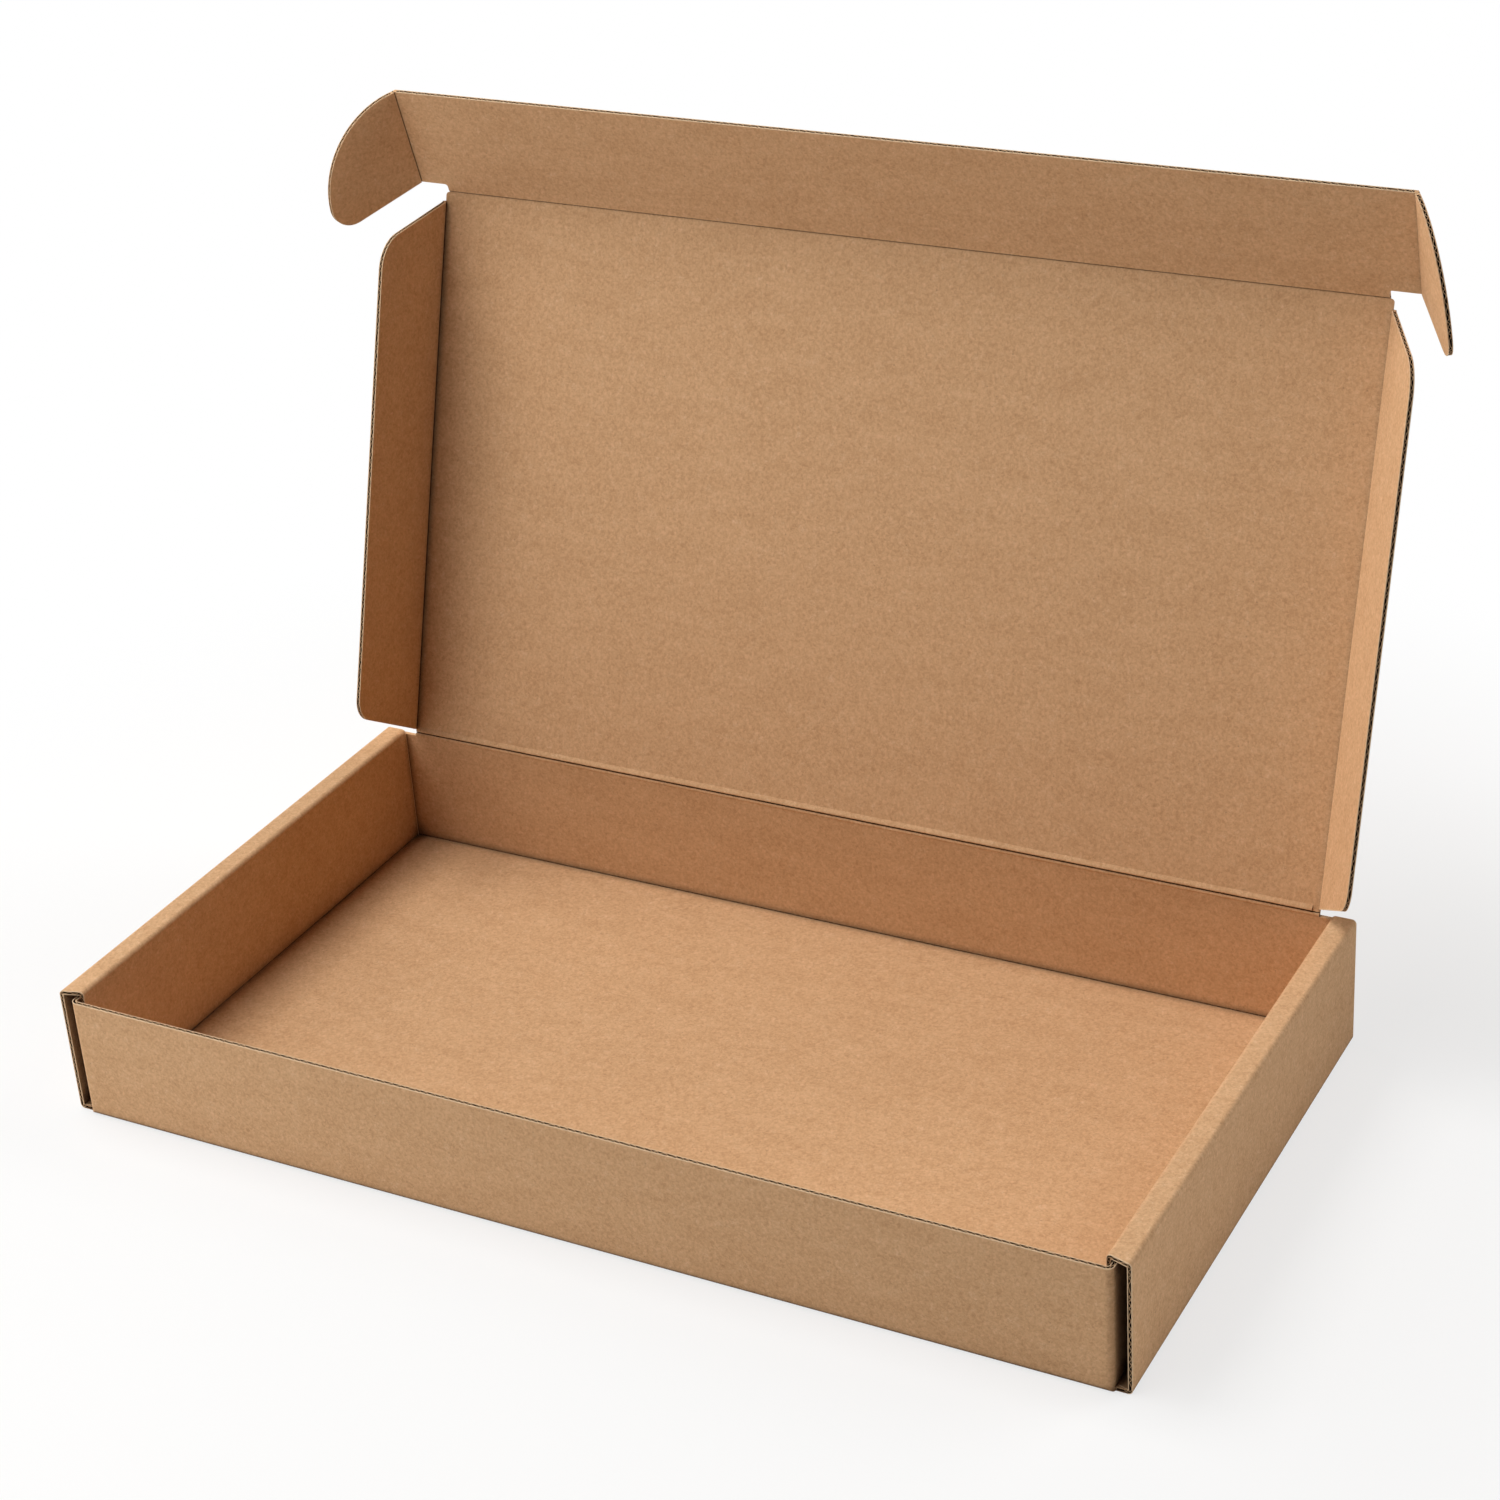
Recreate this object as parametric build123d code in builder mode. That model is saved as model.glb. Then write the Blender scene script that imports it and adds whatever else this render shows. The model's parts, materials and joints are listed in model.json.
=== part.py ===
from build123d import *
import os

# A die-cut mailer box of E-flute board, folded from one blank and shown open.
# Millimetres, +Z up, front towards -Y. The origin is the centre of the base's underside.

# The board and its folds
board = 1.8
liner = 0.35
edge_recess = 1.2
fold_radius = 2.0
crease_radius = 0.35
crease_gap = 0.25
panel_gap = 0.4
overrun = 5.0

# The tray
box_width = 470.0
box_depth = 250.0
side_height = 58.0
strip_width = 10.5
strip_slant = 2.6
front_wall_height = 54.8
end_bend_radius = 2.8
end_flap_length = 62.0
end_flap_corner = 9.0

# The tabs that lock each inner side wall into the base
tab_length = 42.0
tab_offset = 64.0
tab_play = 0.3
tab_taper_angle = 4.0

# The lid
lid_play = 0.7
lid_side_play = 5.5
lid_corner = 1.6
front_play = 0.5
lid_open_angle = 107.3

# The lid's side flaps
side_flap_width = 48.0
side_flap_rear = 2.4
side_flap_rear_taper = 12.5
side_flap_rear_corner = 11.0
side_flap_front_gap = 4.2
side_flap_front_taper = 18.0
side_flap_front_corner = 17.0
root_bevel = 0.95
left_flap_angle = 87.6
right_flap_angle = 61.4

# The lid's front flap and its ears
front_flap_depth = 52.0
front_flap_angle = 34.0
shoulder_drop = 4.6
shoulder_corner = 1.4
ear_length = 47.0
ear_widest = 15.0
ear_tip = 3.2
ear_tip_share = 0.76
left_ear_angle = 64.0
right_ear_angle = 60.0

# Worked out from the sizes above
half_width = box_width / 2
half_depth = box_depth / 2
half_board = board / 2
half_core = half_board - liner
inner_wall_face = half_width - strip_width
wall_end = inner_wall_face + board + panel_gap + board
side_end = half_depth - board - panel_gap
end_flap_bottom = board + panel_gap
back_wall_height = side_height - board - panel_gap
hinge_y = half_depth - half_board
hinge_z = front_wall_height + lid_play + half_board
lid_length = box_depth + front_play
lid_half = inner_wall_face - lid_side_play
crease_half = lid_half - lid_corner
panel_start = half_board + crease_gap
ear_line = (wall_end + half_width - board) / 2
side_flap_front = lid_length - side_flap_front_gap
bend_start = wall_end - end_bend_radius
end_flap_tip = half_depth - end_flap_length


def past_fold(plane, place, turn):
    """The plane of a panel past a fold: the fold's place on its parent, and the turn about it."""
    return Plane(plane.location * Location(place, turn))


def side_wall_layer(inset):
    """The rolled-over side wall's section up from the base: the whole board, or inset to its core."""
    return Polyline(
        (wall_end + panel_gap, inset),
        (half_width - inset, inset),
        (half_width - inset, side_height - inset),
        (inner_wall_face + inset, side_height - inset),
        (inner_wall_face + inset, board),
        (inner_wall_face + board - inset, board),
        (inner_wall_face + board - inset, side_height - board + inset),
        (half_width - board + inset, side_height - board + inset),
        (half_width - board + inset, board - inset),
        (wall_end + panel_gap, board - inset),
        close=True,
    )


def round_side_folds(sketch, inset):
    """Round the outside of such a layer where the side wall folds."""
    low_corner = (half_width - inset, inset)
    outer_corner = (half_width - inset, side_height - inset)
    inner_corner = (inner_wall_face + inset, side_height - inset)
    for corner in (low_corner, outer_corner, inner_corner):
        fillet(sketch.vertices().sort_by_distance(corner)[0], fold_radius - inset)


def wall_bend_layer(end, inset, start, reach):
    """A front or back wall from start to its end, and its end flap as far as reach, seen from above."""
    return Polyline(
        (start, end * (half_depth - inset)),
        (wall_end - inset, end * (half_depth - inset)),
        (wall_end - inset, end * reach),
        (wall_end - board + inset, end * reach),
        (wall_end - board + inset, end * (half_depth - board + inset)),
        (start, end * (half_depth - board + inset)),
        close=True,
    )


def round_wall_bend(sketch, end, inset):
    """Round the outside and the inside of such a layer where the wall bends."""
    inner_corner = (wall_end - board + inset, end * (half_depth - board + inset))
    fillet(sketch.vertices().sort_by_distance(inner_corner)[0], end_bend_radius - board + inset)
    outer_corner = (wall_end - inset, end * (half_depth - inset))
    fillet(sketch.vertices().sort_by_distance(outer_corner)[0], end_bend_radius - inset)


# The lid's panels are drawn on their own planes, in the pose of an opened box.
# On each plane, X runs across the lid, Y away from the hinge and Z towards the box's inside.
closed_lid = Plane(origin=(0, hinge_y, hinge_z), x_dir=(1, 0, 0), z_dir=(0, 0, -1))
lid_plane = past_fold(closed_lid, (0, 0, 0), (-lid_open_angle, 0, 0))
left_flap_plane = past_fold(lid_plane, (-lid_half, 0, 0), (0, left_flap_angle, 0))
right_flap_plane = past_fold(lid_plane, (lid_half, 0, 0), (0, -right_flap_angle, 0))
front_flap_plane = past_fold(lid_plane, (0, lid_length, 0), (front_flap_angle, 0, 0))
left_ear_plane = past_fold(front_flap_plane, (-ear_line, 0, 0), (0, left_ear_angle, 0))
right_ear_plane = past_fold(front_flap_plane, (ear_line, 0, 0), (0, -right_ear_angle, 0))


# The recess between the liners at the side wall's cut front edge, which slants over the top strip
with BuildPart() as front_recess:
    with BuildSketch():
        with BuildLine():
            Polyline(
                (half_width, -side_end),
                (half_width, -side_end + edge_recess),
                (half_width - board, -side_end + edge_recess),
                (inner_wall_face, -side_end + strip_slant + edge_recess),
                (inner_wall_face, -side_end),
                close=True,
            )
        make_face()
    extrude(amount=side_height)
    with BuildSketch(Plane.XZ.offset(side_end)) as core:
        with BuildLine():
            side_wall_layer(liner)
        make_face()
        round_side_folds(core, liner)
    extrude(amount=-strip_slant - edge_recess, mode=Mode.INTERSECT)


# The front wall, the base and the back wall, as one section run across the right half of the box
with BuildPart() as walls:
    with BuildSketch(Plane.YZ) as section:
        with BuildLine():
            Polyline(
                (-half_depth, 0),
                (half_depth, 0),
                (half_depth, back_wall_height),
                (half_depth - board, back_wall_height),
                (half_depth - board, board),
                (-half_depth + board, board),
                (-half_depth + board, front_wall_height),
                (-half_depth, front_wall_height),
                close=True,
            )
        make_face()
        fillet(section.vertices().group_by(Axis.Y)[0], fold_radius)
    extrude(amount=wall_end)
    with BuildSketch():
        RectangleRounded(2 * wall_end, box_depth, end_bend_radius)
    extrude(amount=side_height, mode=Mode.INTERSECT)


# Tray: base, front wall, back wall and rolled-over side walls, one folded piece
with BuildPart() as tray:
    # The right half of the base with its double side wall, as one section run from back to front
    with BuildSketch(Plane.XZ.offset(-side_end)) as section:
        with Locations((half_width / 2, half_board)):
            Rectangle(half_width, board)
        with BuildLine():
            side_wall_layer(0)
        make_face()
        round_side_folds(section, 0)
    extrude(amount=2 * side_end)

    # The top strip's front edge slants back towards the inner wall
    with BuildSketch(Plane.XY.offset(board)):
        with BuildLine():
            Polyline(
                (half_width - board, -side_end),
                (inner_wall_face, -side_end + strip_slant),
                (inner_wall_face - overrun, -side_end + strip_slant),
                (inner_wall_face - overrun, -side_end),
                close=True,
            )
        make_face()
    extrude(amount=side_height, mode=Mode.SUBTRACT)

    # Both ends of the side wall are cut edges, where the fluting lies back between the liners
    add(front_recess.part, mode=Mode.SUBTRACT)
    with BuildSketch(Plane.XZ.offset(-side_end)) as core:
        with BuildLine():
            side_wall_layer(liner)
        make_face()
        round_side_folds(core, liner)
    extrude(amount=edge_recess, mode=Mode.SUBTRACT)

    # The walls in front and behind, folded up from the base, and the crease along each inside fold
    add(walls.part)
    with BuildSketch(Plane.YZ):
        with GridLocations(2 * (half_depth - board), 0, 2, 1):
            with Locations((0, board)):
                Circle(crease_radius)
    extrude(amount=inner_wall_face, mode=Mode.SUBTRACT)

    # The inner side wall's cut foot stands a hair clear of the base
    with BuildSketch(Plane.XZ.offset(-side_end)):
        with Locations((inner_wall_face, board + crease_radius / 2)):
            Rectangle(2 * crease_radius, crease_radius)
    extrude(amount=2 * side_end, mode=Mode.SUBTRACT)

    # The ends of the front and back walls bend round into the side walls' pockets
    for end, height in ((-1, front_wall_height), (1, back_wall_height)):
        with BuildSketch(Plane.XY.offset(end_flap_bottom)) as bend:
            with BuildLine():
                wall_bend_layer(end, 0, bend_start - board, half_depth - end_bend_radius - board)
            make_face()
            round_wall_bend(bend, end, 0)
        extrude(amount=height - end_flap_bottom)
        with BuildSketch(Plane.YZ.offset(wall_end - board)):
            with BuildLine():
                Polyline(
                    (end * (half_depth - end_bend_radius), end_flap_bottom),
                    (end * end_flap_tip, end_flap_bottom),
                    (end * end_flap_tip, height),
                    (end * (half_depth - end_bend_radius), height),
                    close=True,
                )
            end_flap = make_face()
            tips = end_flap.vertices().sort_by_distance((end * half_depth, height / 2))[-2:]
            fillet(tips, end_flap_corner)
        extrude(amount=board)

    # The front wall's top edge is cut too, round the bend and along its end flap
    with BuildSketch(Plane.XY.offset(front_wall_height)) as core:
        with BuildLine():
            wall_bend_layer(-1, liner, 0, end_flap_tip + end_flap_corner)
        make_face()
        round_wall_bend(core, -1, liner)
    extrude(amount=-edge_recess, mode=Mode.SUBTRACT)

    # The back wall's top edge is the rounded fold that the lid turns on
    with BuildSketch(Plane.YZ):
        with Locations((hinge_y, hinge_z)):
            Circle(half_board)
        with Locations((hinge_y, (hinge_z + back_wall_height - board) / 2)):
            Rectangle(board, hinge_z - back_wall_height + board)
    extrude(amount=lid_half)

    # Slots in the base, and the inner side wall's tabs that stand in them
    with BuildSketch():
        with Locations((inner_wall_face + half_board, 0)):
            with GridLocations(0, 2 * tab_offset, 1, 2):
                Rectangle(board + 2 * tab_play, tab_length + 2 * tab_play)
    extrude(amount=board, mode=Mode.SUBTRACT)
    with BuildSketch(Plane.YZ.offset(inner_wall_face)):
        with Locations((0, (board + tab_play) / 2)):
            with GridLocations(2 * tab_offset, 0, 2, 1):
                Trapezoid(tab_length, board - tab_play, 90 - tab_taper_angle, rotation=180)
    extrude(amount=board)
    mirror(about=Plane.YZ)


# Lid: a flat panel with a rounded fold along its front edge and along both sides
with BuildPart() as lid:
    with BuildSketch(lid_plane):
        with Locations((0, (panel_start + lid_length) / 2)):
            panel = Rectangle(2 * lid_half, lid_length - panel_start)
        fillet(panel.vertices().group_by(Axis.Y)[-1], lid_corner)
    extrude(amount=half_board, both=True)
    fold_middle = (side_flap_rear + side_flap_front) / 2
    side_folds = [Location((side * lid_half, fold_middle, 0), (90, 0, 0)) for side in (-1, 1)]
    with Locations([lid_plane.location * fold for fold in side_folds]):
        Cylinder(half_board, side_flap_front - side_flap_rear)
    with Locations(lid_plane.location * Location((0, lid_length, 0), (0, 90, 0))):
        Cylinder(half_board, 2 * crease_half)


def side_flap(side, plane):
    """One of the lid's side flaps: tapered ends, rounded corners, and a root that clears its fold."""
    with BuildPart() as flap:
        with BuildSketch(plane) as outline:
            with BuildLine():
                Polyline(
                    (side * panel_start, side_flap_rear),
                    (side * side_flap_width, side_flap_rear + side_flap_rear_taper),
                    (side * side_flap_width, side_flap_front - side_flap_front_taper),
                    (side * panel_start, side_flap_front),
                    close=True,
                )
            make_face()
            for end, radius in ((0, side_flap_rear_corner), (lid_length, side_flap_front_corner)):
                corner = outline.vertices().sort_by_distance((side * side_flap_width, end))[0]
                fillet(corner, radius)
        extrude(amount=half_board, both=True)
        with BuildSketch(plane):
            add(outline.sketch_local)
            offset(amount=-edge_recess, mode=Mode.SUBTRACT)
            with Locations((side * panel_start, lid_length / 2)):
                Rectangle(2 * edge_recess, lid_length, mode=Mode.SUBTRACT)
        extrude(amount=half_core, both=True, mode=Mode.SUBTRACT)
        with BuildSketch(Plane(plane.origin, x_dir=plane.x_dir, z_dir=plane.y_dir)):
            with BuildLine():
                Polyline(
                    (side * panel_start, 0),
                    (side * panel_start, -half_board),
                    (side * (panel_start + root_bevel), -half_board),
                    close=True,
                )
            make_face()
        extrude(amount=lid_length, mode=Mode.SUBTRACT)
    return flap


left_flap = side_flap(-1, left_flap_plane)
right_flap = side_flap(1, right_flap_plane)


# Front flap: wider than the lid, with shoulders beside the crease and a fold line at each ear
with BuildPart() as front_flap:
    with BuildSketch(front_flap_plane) as outline:
        with Locations((0, (shoulder_drop + front_flap_depth) / 2)):
            Rectangle(2 * ear_line, front_flap_depth - shoulder_drop)
        with Locations((0, (panel_start + shoulder_drop) / 2)):
            Rectangle(2 * crease_half, shoulder_drop - panel_start)
        for side in (-1, 1):
            notch = outline.vertices().sort_by_distance((side * crease_half, shoulder_drop))[0]
            fillet(notch, shoulder_corner)
    extrude(amount=half_board, both=True)
    with BuildSketch(front_flap_plane):
        with Locations((0, front_flap_depth - edge_recess / 2)):
            Rectangle(2 * (ear_line - half_board), edge_recess)
    extrude(amount=half_core, both=True, mode=Mode.SUBTRACT)
    fold_middle = (shoulder_drop + front_flap_depth) / 2
    ear_folds = [Location((side * ear_line, fold_middle, 0), (90, 0, 0)) for side in (-1, 1)]
    with Locations([front_flap_plane.location * fold for fold in ear_folds]):
        Cylinder(half_board, front_flap_depth - shoulder_drop)


def ear(side, plane):
    """One of the front flap's ears: a leaf with a straight edge by the lid and a rounded tip."""
    tip = ear_tip_share * ear_length
    with BuildPart() as leaf:
        with BuildSketch(plane) as outline:
            with BuildLine():
                near_edge = Line((side * panel_start, shoulder_drop), (side * tip, ear_tip))
                tip_arc = TangentArc(near_edge @ 1, (side * ear_length, ear_widest), tangent=near_edge % 1)
                fold_end = (side * panel_start, front_flap_depth)
                far_arc = TangentArc(tip_arc @ 1, fold_end, tangent=tip_arc % 1)
                Line(far_arc @ 1, near_edge @ 0)
            make_face()
        extrude(amount=half_board, both=True)
        with BuildSketch(plane):
            add(outline.sketch_local)
            offset(amount=-edge_recess, mode=Mode.SUBTRACT)
            with Locations((side * panel_start, front_flap_depth / 2)):
                Rectangle(2 * edge_recess, 2 * front_flap_depth, mode=Mode.SUBTRACT)
        extrude(amount=half_core, both=True, mode=Mode.SUBTRACT)
    return leaf


left_ear = ear(-1, left_ear_plane)
right_ear = ear(1, right_ear_plane)


os.makedirs("parts", exist_ok=True)
pieces = {
    "tray": tray,
    "lid": lid,
    "left_flap": left_flap,
    "right_flap": right_flap,
    "front_flap": front_flap,
    "left_ear": left_ear,
    "right_ear": right_ear,
}
for name, piece in pieces.items():
    piece.part.label = name
    export_step(piece.part, f"parts/{name}.step")
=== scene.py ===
# %% [markdown]
# A die-cut mailer box, opened on a white table.
#
# The solids of the box come ready made, at their real size, and they never move. What is left to do
# here is what the eye reads as corrugated board: the fibrous brown liner, the wavy paper that shows
# at every cut edge, the liner that runs round each fold, and a soft light to see them by.

# %% Load the box
import json
import math

import bmesh
import bpy
from mathutils import Matrix, Vector


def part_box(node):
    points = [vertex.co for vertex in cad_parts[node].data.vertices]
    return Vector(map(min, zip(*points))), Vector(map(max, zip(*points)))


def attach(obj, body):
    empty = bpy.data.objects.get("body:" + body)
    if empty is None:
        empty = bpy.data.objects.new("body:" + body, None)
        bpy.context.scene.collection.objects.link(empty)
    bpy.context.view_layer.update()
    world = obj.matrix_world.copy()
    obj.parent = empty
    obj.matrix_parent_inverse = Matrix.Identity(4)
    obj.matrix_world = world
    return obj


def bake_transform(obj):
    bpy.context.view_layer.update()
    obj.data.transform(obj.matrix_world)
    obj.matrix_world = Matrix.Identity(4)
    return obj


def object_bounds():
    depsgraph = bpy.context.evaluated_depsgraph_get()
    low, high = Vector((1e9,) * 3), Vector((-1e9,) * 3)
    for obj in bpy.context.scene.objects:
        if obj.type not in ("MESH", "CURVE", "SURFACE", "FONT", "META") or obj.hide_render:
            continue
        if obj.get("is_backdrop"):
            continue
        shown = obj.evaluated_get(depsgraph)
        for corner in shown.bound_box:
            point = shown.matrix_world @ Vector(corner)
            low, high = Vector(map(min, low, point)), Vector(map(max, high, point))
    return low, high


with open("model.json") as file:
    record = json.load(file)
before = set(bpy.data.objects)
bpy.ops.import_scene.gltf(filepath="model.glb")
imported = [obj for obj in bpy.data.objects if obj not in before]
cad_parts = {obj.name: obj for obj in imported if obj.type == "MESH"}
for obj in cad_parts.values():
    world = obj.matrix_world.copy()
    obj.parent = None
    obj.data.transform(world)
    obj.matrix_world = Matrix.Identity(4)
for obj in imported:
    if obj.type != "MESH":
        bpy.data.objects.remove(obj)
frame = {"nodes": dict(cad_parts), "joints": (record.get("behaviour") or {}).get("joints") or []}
solid_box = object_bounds()
joints = {joint["name"]: joint for joint in frame["joints"]}
print("nodes:", ", ".join(frame["nodes"]))
print("joints:", ", ".join(joints))

# %% [markdown]
# Sizes come first. The board is a sandwich: two liners with a wavy sheet of paper between them.
# The solids already have a narrow recess between the liners along each cut edge, so the sizes below
# say where that recess lies. Everything is in metres, because that is what Blender works in.

# %% Sizes of the board and of its panels
mm = 0.001
board = 1.8 * mm
liner = 0.35 * mm
edge_recess = 1.2 * mm
half_board = board / 2
half_core = half_board - liner
panel_start = 1.15 * mm

tray_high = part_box("tray")[1]
half_width = tray_high.x
half_depth = tray_high.y
side_height = tray_high.z
front_wall_height = 54.8 * mm
wall_end = 228.5 * mm
inner_wall_face = 224.5 * mm
end_bend_radius = 2.8 * mm
end_flap_reach = 72 * mm
panel_gap = 0.4 * mm
side_end = half_depth - board - panel_gap
strip_slant = 2.6 * mm
fold_radius = 2.0 * mm

lid_half = joints["right_flap_fold"]["pos_m"][0]
ear_line = joints["right_ear_fold"]["pos_m"][0]
crease_inset = 1.6 * mm
crease_half = lid_half - crease_inset
side_flap_width = 48 * mm
side_flap_rear = 2.4 * mm
side_flap_rear_taper = 12.5 * mm
side_flap_rear_corner = 11 * mm
side_flap_front = 246.3 * mm
side_flap_front_taper = 18 * mm
side_flap_front_corner = 17 * mm
front_flap_depth = 52 * mm
shoulder_drop = 4.6 * mm
ear_length = 47 * mm
ear_widest = 15 * mm
ear_tip = 3.2 * mm
ear_tip_share = 0.76

# How far each panel is folded from lying flat with the panel that carries it. Opened as far as it
# goes, a panel lies flat, apart from the right flap, which the lid's own turn leaves partly folded.
fold_angles = {
    panel: joints[panel + "_fold"]["range_deg"][1]
    for panel in ("left_flap", "front_flap", "left_ear", "right_ear")
}
fold_angles["right_flap"] = 61.4
print(f"tray {2000 * half_width:.0f} x {2000 * half_depth:.0f} x {1000 * side_height:.0f} mm")

# %% [markdown]
# Each panel of the lid has a frame of its own: X across the lid, Y away from the hinge, Z towards
# the inside of the box. A frame is its parent's frame moved to the fold and turned about it, which
# is just how the blank was folded. Points on a panel can then be written flat, as on the blank.

# %% Frames of the folded panels


def past_fold(parent, place, angle, axis):
    """The frame of a panel past a fold, from its parent's frame."""
    return parent @ Matrix.Translation(place) @ Matrix.Rotation(math.radians(angle), 4, axis)


lid_length = (
    Vector(joints["front_flap_fold"]["pos_m"]) - Vector(joints["lid_hinge"]["pos_m"])
).length
hinge = Matrix.Translation(joints["lid_hinge"]["pos_m"])
lid_frame = past_fold(hinge, (0, 0, 0), joints["lid_hinge"]["range_deg"][1], "X")
front_flap_frame = past_fold(lid_frame, (0, lid_length, 0), fold_angles["front_flap"], "X")
panel_frames = {
    "left_flap": past_fold(lid_frame, (-lid_half, 0, 0), fold_angles["left_flap"], "Y"),
    "right_flap": past_fold(lid_frame, (lid_half, 0, 0), -fold_angles["right_flap"], "Y"),
    "front_flap": front_flap_frame,
    "left_ear": past_fold(front_flap_frame, (-ear_line, 0, 0), fold_angles["left_ear"], "Y"),
    "right_ear": past_fold(front_flap_frame, (ear_line, 0, 0), -fold_angles["right_ear"], "Y"),
}
print(f"lid panel {2000 * lid_half:.0f} x {1000 * lid_length:.1f} mm")

# %% [markdown]
# Three helpers serve the materials and node trees. Colours are written as the hex values that a
# picture program shows, and Blender wants them linear, so one function converts them. Another adds
# a node, sets its options, and fills its inputs with plain values or with links, and the third
# starts an empty material. A Mix node has sockets of one name for numbers and for colours, so its
# colour sockets are reached by their place.

# %% Helpers for colours and nodes
mix_share, mix_under, mix_over = 0, 6, 7
mix_result = 2


def linear(hex_colour):
    """An sRGB hex colour as linear RGBA."""
    channels = [int(hex_colour[i : i + 2], 16) / 255 for i in (1, 3, 5)]
    return [c / 12.92 if c <= 0.04045 else ((c + 0.055) / 1.055) ** 2.4 for c in channels] + [1.0]


def add_node(tree, kind, inputs=None, **options):
    """Add a node with its options. Each input takes a plain value or another node's output."""
    node = tree.nodes.new(kind)
    for name, value in options.items():
        setattr(node, name, value)
    for key, value in (inputs or {}).items():
        if isinstance(value, bpy.types.NodeSocket):
            tree.links.new(value, node.inputs[key])
        else:
            node.inputs[key].default_value = value
    return node


def new_material(name):
    """An empty node material."""
    material = bpy.data.materials.new(name)
    material.use_nodes = True
    material.node_tree.nodes.clear()
    return material


print("white, linear:", linear("#FFFFFF"))

# %% [markdown]
# Kraft liner is unbleached paper made on a fast machine. Its fibres settle unevenly, so the brown is
# never flat: there are soft flocks about a millimetre wide, faint streaks the way the paper ran
# through the machine, short pale and brown fibres in all directions, and now and then a dark speck.
# It is matt, with a dry, slightly fuzzy surface. A picture of paper would do this too, but noise on
# Object coordinates has no seams, keeps its real scale on every panel, and needs no unwrapping.

# %% Kraft liner board: its pattern
flock_size = 1.3 * mm
cloud_size = 9 * mm
fibre_spacing = 1.7 * mm
fibre_patch = 3.6 * mm
speck_spacing = 6 * mm
streak_scale = (0.3, 1.0, 1.0)
kraft_liner = new_material("kraft_liner_board")
kraft_tree = kraft_liner.node_tree
place = add_node(kraft_tree, "ShaderNodeTexCoord").outputs["Object"]
flocks = add_node(
    kraft_tree,
    "ShaderNodeTexNoise",
    {"Vector": place, "Scale": 1 / flock_size, "Detail": 2, "Roughness": 0.55, "Distortion": 0.7},
)
streaky = add_node(kraft_tree, "ShaderNodeMapping", {"Vector": place, "Scale": streak_scale})
clouds = add_node(
    kraft_tree,
    "ShaderNodeTexNoise",
    {"Vector": streaky.outputs[0], "Scale": 1 / cloud_size, "Detail": 4},
)
wander = add_node(
    kraft_tree,
    "ShaderNodeTexNoise",
    {"Vector": place, "Scale": 1 / fibre_spacing, "Detail": 1, "Distortion": 0.8},
)
patches = add_node(
    kraft_tree, "ShaderNodeTexNoise", {"Vector": place, "Scale": 1 / fibre_patch, "Detail": 2}
)
specks = add_node(kraft_tree, "ShaderNodeTexVoronoi", {"Vector": place, "Scale": 1 / speck_spacing})
print("kraft patterns from", 1000 * flock_size, "to", 1000 * cloud_size, "mm")

# %% [markdown]
# A fibre is drawn as a contour line: wherever a smooth noise crosses its middle value there is a thin
# wandering line, and a second noise breaks these lines into short pieces, pale in some patches and
# brown in others. Real fibres are a few hundredths of a millimetre wide, too fine to show from here,
# so these are drawn several times as wide. The specks are the middles of sparse Voronoi cells.

# %% Kraft liner board: fibres and specks
fibre_line_width = 0.04
pale_strength = 0.34
brown_strength = 0.4
speck_strength = 0.4
off_middle = add_node(
    kraft_tree, "ShaderNodeMath", {0: wander.outputs["Fac"], 1: 0.5}, operation="SUBTRACT"
)
contour = add_node(kraft_tree, "ShaderNodeMath", {0: off_middle.outputs[0]}, operation="ABSOLUTE")
fibre_line = add_node(
    kraft_tree,
    "ShaderNodeMapRange",
    {"Value": contour.outputs[0], "From Max": fibre_line_width, "To Min": 1.0, "To Max": 0.0},
)
pale_share = add_node(
    kraft_tree,
    "ShaderNodeMapRange",
    {"Value": patches.outputs["Fac"], "From Min": 0.5, "From Max": 0.64, "To Max": pale_strength},
)
pale_fibres = add_node(
    kraft_tree,
    "ShaderNodeMath",
    {0: fibre_line.outputs[0], 1: pale_share.outputs[0]},
    operation="MULTIPLY",
)
brown_share = add_node(
    kraft_tree,
    "ShaderNodeMapRange",
    {
        "Value": patches.outputs["Fac"],
        "From Min": 0.38,
        "From Max": 0.5,
        "To Min": brown_strength,
        "To Max": 0.0,
    },
)
brown_fibres = add_node(
    kraft_tree,
    "ShaderNodeMath",
    {0: fibre_line.outputs[0], 1: brown_share.outputs[0]},
    operation="MULTIPLY",
)
dark_specks = add_node(
    kraft_tree,
    "ShaderNodeMapRange",
    {
        "Value": specks.outputs["Distance"],
        "From Min": 0.03,
        "From Max": 0.07,
        "To Min": speck_strength,
        "To Max": 0.0,
    },
)
print("fibres about", 1000 * fibre_spacing, "mm apart")
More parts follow.
